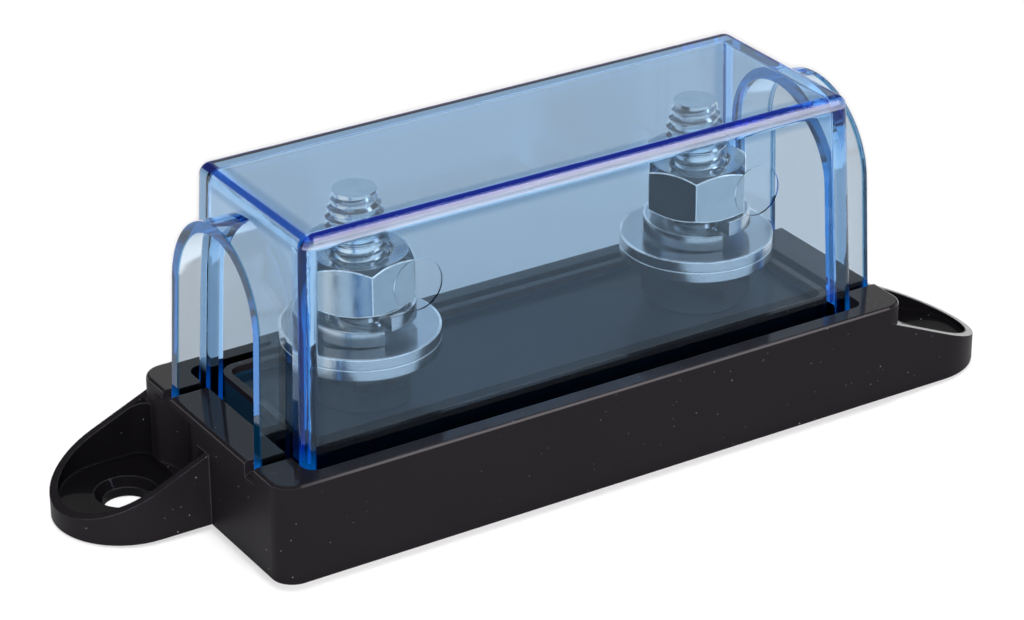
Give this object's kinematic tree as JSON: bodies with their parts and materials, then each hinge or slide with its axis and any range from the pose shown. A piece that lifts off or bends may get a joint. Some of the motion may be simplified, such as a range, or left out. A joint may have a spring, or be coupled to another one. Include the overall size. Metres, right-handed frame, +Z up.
{
  "type": "fuse holder",
  "caption": "Bolt-down fuse holder: dark moulded base with fixing ears, M8 studs with nuts and washers, and a clear blue lift-off cover with cable arches.",
  "frame": {"origin": "middle of the underside of the base", "axes": "+X along the block through both studs, +Y to the side of the left ear, +Z up along the studs"},
  "size_m": [0.132, 0.039, 0.0443],
  "materials": {
    "base_plastic": "fine satin moulding",
    "clear_blue_plastic": "polished, clear",
    "zinc_steel": "bright zinc plating"
  },
  "bodies": {
    "holder": {"base": "base_plastic", "left_stud": "zinc_steel", "left_lower_nut": "zinc_steel", "left_lower_washer": "zinc_steel", "right_stud": "zinc_steel", "right_lower_nut": "zinc_steel", "right_lower_washer": "zinc_steel"},
    "cover": {"cover": "clear_blue_plastic"},
    "left_clamp": {"left_upper_washer": "zinc_steel", "left_spring_washer": "zinc_steel"},
    "left_nut": {"left_top_nut": "zinc_steel"},
    "right_clamp": {"right_upper_washer": "zinc_steel", "right_spring_washer": "zinc_steel"},
    "right_nut": {"right_top_nut": "zinc_steel"}
  },
  "joints": [
    {"name": "cover_lift", "type": "slide", "parent": "holder", "child": "cover", "axis": [0, 0, 1], "range_m": [0, 0.045]},
    {"name": "left_clamp_rise", "type": "slide", "parent": "holder", "child": "left_clamp", "axis": [0, 0, 1], "range_m": [0, 0.0075]},
    {"name": "left_nut_turn", "type": "hinge", "parent": "left_clamp", "child": "left_nut", "pos_m": [-0.02635, 0, 0.0305], "axis": [0, 0, 1], "range_deg": [0, 2160]},
    {"name": "right_clamp_rise", "type": "slide", "parent": "holder", "child": "right_clamp", "axis": [0, 0, 1], "range_m": [0, 0.0075]},
    {"name": "right_nut_turn", "type": "hinge", "parent": "right_clamp", "child": "right_nut", "pos_m": [0.02635, 0, 0.0305], "axis": [0, 0, 1], "range_deg": [0, 2160]}
  ],
  "couplings": [
    {"joint": "left_clamp_rise", "follows": "left_nut_turn", "m_per_rad": 0.00019894},
    {"joint": "right_clamp_rise", "follows": "right_nut_turn", "m_per_rad": 0.00019894}
  ]
}
